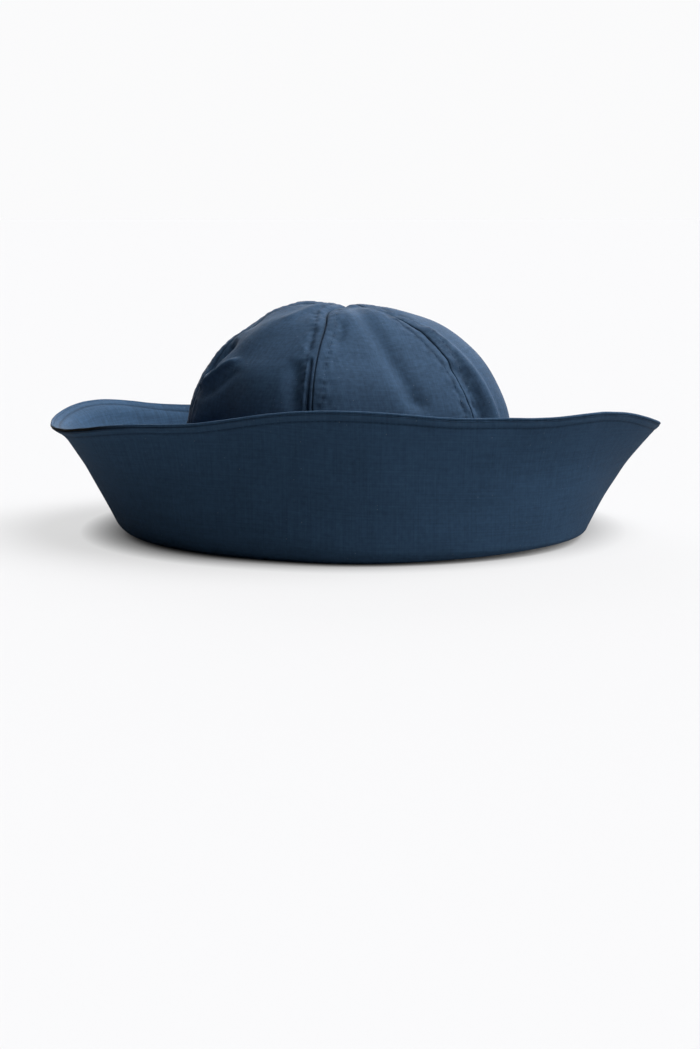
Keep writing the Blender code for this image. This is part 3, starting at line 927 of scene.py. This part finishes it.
def brim_row(upper):
    """Return the row of stitches below the rim on one face."""
    path, outward = [], []
    sign = 1.0 if upper else -1.0
    for azimuth in np.linspace(0.0, 360.0, 3 * PATH_POINTS + 1):
        line, along, upward, step, from_rim = face_cuts(azimuth)
        face = line + sign * upward * step
        spot = [np.interp(-ROW_FROM_RIM, -from_rim, values) for values in face.T]
        aside = [np.interp(-ROW_FROM_RIM, -from_rim, values) for values in sign * upward.T]
        path.append(turned(azimuth, np.array([spot]))[0])
        outward.append(turned(azimuth, np.array([aside]))[0])
    return np.array(path), np.array(outward)


crown_stitches = [
    add_stitches(f"crown_panel_{panel + 1}_stitches", crown_rows(panel))
    for panel in range(len(CROWN_SEAMS))
]
upper_stitches = add_stitches("brim_upper_stitches", [brim_row(True)])
under_stitches = add_stitches("brim_under_stitches", [brim_row(False)])

# %% [markdown]
# Shared cloth effects
# Cotton cloth is made of small effects that every piece of the hat shares: the plain weave, the
# streaks where a thread is thicker, the faded patches, the lint that clings to it, and the edges
# that rub pale. Each is a node group with named inputs, made once here and placed in every material
# with its own values. A group puts out only a value, so the shader itself stays in the material.


# %% Define helpers for nodes
def add_node(tree, kind, inputs=None, **settings):
    """Add a node; its inputs are numbers, colours or the outputs of other nodes."""
    node = tree.nodes.new(kind)
    for name, value in settings.items():
        setattr(node, name, value)
    for key, value in (inputs or {}).items():
        if isinstance(value, bpy.types.NodeSocket):
            tree.links.new(value, node.inputs[key])
        else:
            node.inputs[key].default_value = value
    return node


def calculate(tree, operation, *values):
    """Add a Math node and return its output."""
    return add_node(tree, "ShaderNodeMath", dict(enumerate(values)), operation=operation).outputs[0]


def stretch(tree, vector, x, y):
    """Multiply a vector by two sizes, which may be numbers or outputs."""
    scale = add_node(tree, "ShaderNodeCombineXYZ", {"X": x, "Y": y, "Z": 1.0}).outputs[0]
    inputs = {0: vector, 1: scale}
    return add_node(tree, "ShaderNodeVectorMath", inputs, operation="MULTIPLY").outputs[0]


def new_group(name, inputs, output):
    """Start a node group; return its tree, its inputs by name and its one output socket."""
    tree = bpy.data.node_groups.new(name, "ShaderNodeTree")
    for label, value in inputs.items():
        kind = "NodeSocketVector" if value is None else "NodeSocketFloat"
        socket = tree.interface.new_socket(label, in_out="INPUT", socket_type=kind)
        if value is not None:
            socket.default_value = value
    tree.interface.new_socket(output, in_out="OUTPUT", socket_type="NodeSocketFloat")
    start = tree.nodes.new("NodeGroupInput")
    end = tree.nodes.new("NodeGroupOutput")
    print("node group:", name)
    return tree, start.outputs, end.inputs[0]


def place_group(tree, group, **inputs):
    """Place a group in a material and return its output."""
    named = {key.replace("_", " ").capitalize(): value for key, value in inputs.items()}
    return add_node(tree, "ShaderNodeGroup", named, node_tree=group).outputs[0]


def noise(tree, place, size, detail):
    """Add soft noise of a size and return its output."""
    fineness = calculate(tree, "DIVIDE", 1.0, size)
    inputs = {"Vector": place, "Scale": fineness, "Detail": detail}
    return add_node(tree, "ShaderNodeTexNoise", inputs).outputs[0]


# %% [markdown]
# The weave is a plain one: each thread goes over one and under the next. A sine across the warp and
# one across the weft give round threads, and a checker of floor values says which one is on top.

# %% Make the weave
WEAVE_DIP = 0.45

weave, given, result = new_group(
    "plain_weave", {"Cloth place": None, "Threads per metre": 2500.0}, "Relief"
)
count = given["Threads per metre"]
spot = stretch(weave, given["Cloth place"], count, count)
apart = add_node(weave, "ShaderNodeSeparateXYZ", {0: spot})
rounds, floors = [], []
for axis in ("X", "Y"):
    turn = calculate(weave, "MULTIPLY", apart.outputs[axis], math.pi)
    rounds.append(calculate(weave, "ABSOLUTE", calculate(weave, "SINE", turn)))
    floors.append(calculate(weave, "FLOOR", apart.outputs[axis]))
parity = calculate(weave, "FLOORED_MODULO", calculate(weave, "ADD", *floors), 2.0)
over = []
for top, other in (rounds, rounds[::-1]):
    bent = calculate(weave, "MULTIPLY_ADD", other, WEAVE_DIP, 1.0 - WEAVE_DIP)
    over.append(calculate(weave, "MULTIPLY", calculate(weave, "SQRT", top), bent))
difference = calculate(weave, "SUBTRACT", over[1], over[0])
woven = calculate(weave, "MULTIPLY_ADD", difference, parity, over[0])
weave.links.new(woven, result)

# %% [markdown]
# Streaks run along both threads of the cloth. Noise that is squeezed hard in one direction draws
# them: once along the warp and once along the weft.

# %% Make the streaks
sizes = {"Cloth place": None, "Streak width": 0.0008, "Streak length": 0.03}
streaks, given, result = new_group("thread_streaks", sizes, "Streaks")
thin = calculate(streaks, "DIVIDE", 1.0, given["Streak width"])
long = calculate(streaks, "DIVIDE", 1.0, given["Streak length"])
warp = noise(streaks, stretch(streaks, given["Cloth place"], thin, long), 1.0, 1.5)
weft = noise(streaks, stretch(streaks, given["Cloth place"], long, thin), 1.0, 1.5)
both = calculate(streaks, "ADD", warp, weft)
streaks.links.new(calculate(streaks, "MULTIPLY", both, 0.5), result)

# %% [markdown]
# Patches are soft clouds where the dye has taken a little more or a little less. Lint is a fine
# scatter of pale specks: the cells of a Voronoi pattern give each speck its place, and only the
# cells with a high random colour carry one.

# %% Make the patches and the lint
patches, given, result = new_group("dye_patches", {"Place": None, "Patch size": 0.02}, "Patches")
patches.links.new(noise(patches, given["Place"], given["Patch size"], 4.0), result)

lint, given, result = new_group(
    "lint", {"Place": None, "Spacing": 0.004, "Speck size": 0.0003, "Bare share": 0.7}, "Specks"
)
fineness = calculate(lint, "DIVIDE", 1.0, given["Spacing"])
cells = add_node(lint, "ShaderNodeTexVoronoi", {"Vector": given["Place"], "Scale": fineness})
limit = calculate(lint, "DIVIDE", given["Speck size"], given["Spacing"])
near = calculate(lint, "LESS_THAN", cells.outputs["Distance"], limit)
chosen = add_node(lint, "ShaderNodeSeparateColor", {0: cells.outputs["Color"]}).outputs[0]
carries = calculate(lint, "GREATER_THAN", chosen, given["Bare share"])
lint.links.new(calculate(lint, "MULTIPLY", near, carries), result)

# %% [markdown]
# Wear comes from an attribute that the mesh code wrote: above 0 on the rim's bead and the band
# below it, where cloth rubs pale, and below 0 in seams, in the groove and along stitches, where the
# colour is darkened partly for dye that stays dark and partly as painted shade. On the hat's left
# side the lower half of the bead also goes below 0, which is painted shade alone. This group takes
# the pale side and breaks it up, so that the line isn't an even stripe. The material takes the dark
# side itself.

# %% Make the edge wear
edge_wear, given, result = new_group(
    "edge_wear", {"Place": None, "Wear": 0.0, "Break size": 0.004}, "Rubbed"
)
broken = noise(edge_wear, given["Place"], given["Break size"], 3.0)
uneven = add_node(
    edge_wear, "ShaderNodeMapRange", {"Value": broken, "From Min": 0.3, "From Max": 0.7}
).outputs[0]
worn = calculate(edge_wear, "MAXIMUM", given["Wear"], 0.0)
edge_wear.links.new(calculate(edge_wear, "MULTIPLY", worn, uneven), result)

# %% [markdown]
# Navy cotton
# One function makes the material of every cloth, so the three cotton slots differ only in their
# values. The colour starts as navy, is varied by the streaks and the patches, and gets darker
# between the threads, which is painted shade, and in the seams, the groove and along stitches,
# which is partly dye that stays dark and partly painted shade. It gets paler where it is rubbed and
# where lint lies. The same weave and streaks raise the surface by a few hundredths of a millimetre,
# and the patches by a few tenths.
# The gloss is kept low, because cotton is dull.


# %% Define the cotton
def mix_colours(tree, share, first, second):
    """Mix two colours by a share."""
    return add_node(
        tree, "ShaderNodeMix", {0: share, 6: first, 7: second}, data_type="RGBA"
    ).outputs[2]


def shade(colour, light):
    """Return a colour made lighter or darker."""
    return tuple(channel * light for channel in colour[:3]) + (1.0,)


PALE_DUST = (0.20, 0.24, 0.30, 1.0)
WEAVE_HEIGHT = 0.00005
STREAK_HEIGHT = 0.00006
CRUMPLE_HEIGHT = 0.00030
# How far colour is darkened where the wear is below 0: partly dye that stays dark, partly painted
# shade.
DYE_AND_SHADE_DEPTH = 0.80
# Painted shade: the colour between the threads is darker than on them.
GAP_LIGHT, THREAD_LIGHT = 0.8, 0.3
LINT_SHOWS = 0.25
COTTON_ROUGHNESS, STREAK_ROUGHNESS = 0.74, 0.12
COTTON_GLOSS = 0.08


def new_material(name):
    """Start a material; return it, its node tree and its shader."""
    material = bpy.data.materials.new(name)
    material.use_nodes = True
    print("material:", name)
    return material, material.node_tree, material.node_tree.nodes["Principled BSDF"]


def raise_surface(tree, shader, relief):
    """Let a height in metres bend the light on a material."""
    bump = add_node(tree, "ShaderNodeBump", {"Height": relief, "Distance": 1.0})
    tree.links.new(bump.outputs[0], shader.inputs["Normal"])


def cotton(name, colour, streak_contrast, patch_contrast, rubbed_light):
    """Return navy cotton with its own colour and contrasts."""
    material, tree, shader = new_material(name)
    cloth_place = add_node(tree, "ShaderNodeUVMap", uv_map="cloth").outputs[0]
    place = add_node(tree, "ShaderNodeTexCoord").outputs["Object"]
    wear = add_node(tree, "ShaderNodeAttribute", attribute_name="wear").outputs["Fac"]

    threads = place_group(tree, weave, cloth_place=cloth_place)
    lines = place_group(tree, streaks, cloth_place=cloth_place)
    clouds = place_group(tree, patches, place=place)
    wide_clouds = place_group(tree, patches, place=place, patch_size=0.07)
    slubs = place_group(tree, patches, place=place, patch_size=0.0022)
    specks = place_group(tree, lint, place=place)
    rubbed = place_group(tree, edge_wear, place=place, wear=wear)

    darker, lighter = shade(colour, 1.0 - streak_contrast), shade(colour, 1.0 + streak_contrast)
    tone = mix_colours(tree, lines, darker, lighter)
    both_clouds = calculate(tree, "ADD", clouds, wide_clouds)
    cloudy = calculate(tree, "MULTIPLY_ADD", both_clouds, 0.5, slubs)
    cloud_light = calculate(tree, "MULTIPLY_ADD", cloudy, patch_contrast, 1.0 - patch_contrast)
    # Painted shade: darker between the threads of the weave.
    gap_shade = calculate(tree, "MULTIPLY_ADD", threads, THREAD_LIGHT, GAP_LIGHT)
    # Painted shade and dye that stays dark: darker where the wear is below 0.
    dye_and_shade = calculate(tree, "MULTIPLY_ADD", calculate(tree, "MINIMUM", wear, 0.0), DYE_AND_SHADE_DEPTH, 1.0)
    light = calculate(tree, "MULTIPLY", calculate(tree, "MULTIPLY", cloud_light, gap_shade), dye_and_shade)
    toned = add_node(
        tree, "ShaderNodeVectorMath", {0: tone, "Scale": light}, operation="SCALE"
    ).outputs[0]
    faded = mix_colours(tree, calculate(tree, "MULTIPLY", rubbed, rubbed_light), toned, PALE_DUST)
    dusted = mix_colours(tree, calculate(tree, "MULTIPLY", specks, LINT_SHOWS), faded, PALE_DUST)
    tree.links.new(dusted, shader.inputs["Base Color"])

    rough = calculate(tree, "MULTIPLY_ADD", lines, STREAK_ROUGHNESS, COTTON_ROUGHNESS)
    tree.links.new(rough, shader.inputs["Roughness"])
    weave_relief = calculate(tree, "MULTIPLY", threads, WEAVE_HEIGHT)
    relief = calculate(tree, "MULTIPLY_ADD", lines, STREAK_HEIGHT, weave_relief)
    relief = calculate(tree, "MULTIPLY_ADD", clouds, CRUMPLE_HEIGHT, relief)
    raise_surface(tree, shader, relief)
    shader.inputs["Specular IOR Level"].default_value = COTTON_GLOSS
    return material


# Painted sheen: the crown's navy is a little greyer and warmer than the brim's, for its lit side.
CROWN_NAVY_AND_SHEEN = (0.0310, 0.0630, 0.115, 1.0)
BRIM_NAVY = (0.0270, 0.0600, 0.113, 1.0)
crown_cotton = cotton("crown_cotton", CROWN_NAVY_AND_SHEEN, 0.40, 0.75, 0.10)
upper_cotton = cotton("brim_upper_cotton", BRIM_NAVY, 0.60, 0.50, 0.12)
under_cotton = cotton("brim_under_cotton", BRIM_NAVY, 0.40, 0.42, 0.12)

# %% Make the thread
# Partly painted shade: the thread is darker than the cloth, for the furrow that each stitch sinks
# into.
THREAD_NAVY_AND_SHADE = (0.010, 0.027, 0.060, 1.0)
THREAD_CONTRAST = 0.4
THREAD_ROUGHNESS, STRAND_ROUGHNESS = 0.5, 0.2
THREAD_GLOSS = 0.05


def thread_material(name, colour):
    """Return the navy thread, a little uneven along its length."""
    material, tree, shader = new_material(name)
    place = add_node(tree, "ShaderNodeTexCoord").outputs["Object"]
    clouds = place_group(tree, patches, place=place, patch_size=0.0009)
    darker, lighter = shade(colour, 1.0 - THREAD_CONTRAST), shade(colour, 1.0 + THREAD_CONTRAST)
    tree.links.new(mix_colours(tree, clouds, darker, lighter), shader.inputs["Base Color"])
    rough = calculate(tree, "MULTIPLY_ADD", clouds, STRAND_ROUGHNESS, THREAD_ROUGHNESS)
    tree.links.new(rough, shader.inputs["Roughness"])
    raise_surface(tree, shader, calculate(tree, "MULTIPLY", clouds, WEAVE_HEIGHT))
    shader.inputs["Specular IOR Level"].default_value = THREAD_GLOSS
    return material


navy_thread = thread_material("navy_thread", THREAD_NAVY_AND_SHADE)

# %% [markdown]
# Dress the hat
# Each new cloth now gets its material, and the plain cloth that it stands for is hidden. Its rows
# of stitches get the thread. The area of every cloth is measured here and printed beside the flat
# size that it was cut to.

# %% Give every piece its finish
PANEL_FLAT_AREA = 0.0116
BRIM_FLAT_AREA = 0.100


def dress(piece, node, material, stitches, area):
    piece.data.materials.append(material)
    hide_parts(node)
    stitches.data.materials.append(navy_thread)
    measured = sum(face.area for face in piece.data.polygons)
    print(piece.name, "is", round(measured, 4), "square metres, cut from", area)


for number, (piece, stitches) in enumerate(zip(crown_panels, crown_stitches), start=1):
    dress(piece, f"crown_panel_{number}", crown_cotton, stitches,
          PANEL_FLAT_AREA)
dress(brim_upper, "brim_upper", upper_cotton, upper_stitches,
      BRIM_FLAT_AREA)
dress(brim_under, "brim_under", under_cotton, under_stitches,
      BRIM_FLAT_AREA)

# %% [markdown]
# Floor and light
# The hat lies on a plain pale floor that runs out to a pale background. The light comes softly from
# the upper right, as from a big window, so the crown's left side and the outside of the brim fall
# into shade. Seven sun lamps with wide discs stand for the window and the pale walls round it,
# because a sun lamp lights the whole floor evenly. For the camera alone, the floor glows as pale as
# the background and the surroundings are pale. The glow fades close to the hat, most on the left,
# as a soft shadow. To the hat, the floor is darker and the surroundings are nearly black.

# %% Make the floor
FLOOR_SIZE = 60.0
FLOOR_PALE = (0.155, 0.155, 0.160, 1.0)
FLOOR_BOUNCE = (0.35, 0.35, 0.35, 1.0)
FLOOR_GLOW = 0.643
CONTACT_REACH = 0.022
SHADE_SIDE, LIGHT_SIDE = -0.10, 0.10
SHADE_DEPTH, LIGHT_DEPTH = 1.4, 0.4
FLOOR_BELOW = 0.0002

bm = bmesh.new()
bmesh.ops.create_grid(bm, x_segments=1, y_segments=1, size=0.5 * FLOOR_SIZE)
bmesh.ops.translate(bm, verts=bm.verts, vec=(0.0, 0.0, -FLOOR_BELOW))
floor = add_object("floor", finished(bm, "floor"))
floor_paint, tree, paint = new_material("pale_floor")
paint.inputs["Roughness"].default_value = 1.0
paint.inputs["Specular IOR Level"].default_value = 0.0
paint.inputs["Emission Color"].default_value = (1.0, 1.0, 1.0, 1.0)
seen = add_node(tree, "ShaderNodeLightPath").outputs["Is Camera Ray"]
tree.links.new(mix_colours(tree, seen, FLOOR_BOUNCE, FLOOR_PALE), paint.inputs["Base Color"])
open_air = add_node(tree, "ShaderNodeAmbientOcclusion", {"Distance": CONTACT_REACH}).outputs["AO"]
floor_place = add_node(tree, "ShaderNodeTexCoord").outputs["Object"]
across = add_node(tree, "ShaderNodeSeparateXYZ", {0: floor_place}).outputs["X"]
depth = add_node(tree, "ShaderNodeMapRange", {
    "Value": across, "From Min": SHADE_SIDE, "From Max": LIGHT_SIDE,
    "To Min": SHADE_DEPTH, "To Max": LIGHT_DEPTH,
}).outputs[0]
open_air = calculate(tree, "POWER", open_air, depth)
glow = calculate(tree, "MULTIPLY", calculate(tree, "MULTIPLY", seen, open_air), FLOOR_GLOW)
tree.links.new(glow, paint.inputs["Emission Strength"])
floor.data.materials.append(floor_paint)
print("floor of", FLOOR_SIZE, "m")

# %% Light the scene
BACKGROUND = (0.962, 0.962, 0.968, 1.0)
ROOM_LIGHT = 0.004
LAMP_WIDTH = 50.0
LAMP_DISTANCE = 2.0
Lamp = namedtuple("Lamp", "name azimuth height strength")
LAMPS = [
    Lamp("window", 110.0, 60.0, 4.0),
    Lamp("window_front", 70.0, 60.0, 1.5),
    Lamp("window_low", 110.0, 35.0, 1.15),
    Lamp("back_wall", 180.0, 35.0, 0.8),
    Lamp("back_wall_low", 180.0, 10.0, 2.4),
    Lamp("back_corner", -150.0, 10.0, 0.5),
    Lamp("front_wall", 0.0, 10.0, 0.10),
]

world = bpy.data.worlds.new("pale_room")
bpy.context.scene.world = world
world.use_nodes = True
room = world.node_tree
seen = add_node(room, "ShaderNodeLightPath").outputs["Is Camera Ray"]
room_colour = mix_colours(room, seen, (ROOM_LIGHT, ROOM_LIGHT, ROOM_LIGHT, 1.0), BACKGROUND)
room.links.new(room_colour, room.nodes["Background"].inputs["Color"])

for lamp in LAMPS:
    lamp_data = bpy.data.lights.new(lamp.name, "SUN")
    lamp_data.energy = lamp.strength
    lamp_data.angle = LAMP_WIDTH * DEGREE
    lamp_object = add_object(lamp.name, lamp_data)
    lamp_way = Vector((
        math.sin(lamp.azimuth * DEGREE) * math.cos(lamp.height * DEGREE),
        -math.cos(lamp.azimuth * DEGREE) * math.cos(lamp.height * DEGREE),
        math.sin(lamp.height * DEGREE),
    ))
    lamp_object.location = lamp_way * LAMP_DISTANCE
    lamp_object.rotation_euler = lamp_way.to_track_quat("Z", "Y").to_euler()
    print(lamp.name, "light from", lamp.azimuth, "degrees, up", lamp.height)
bpy.context.scene.view_settings.view_transform = "Standard"
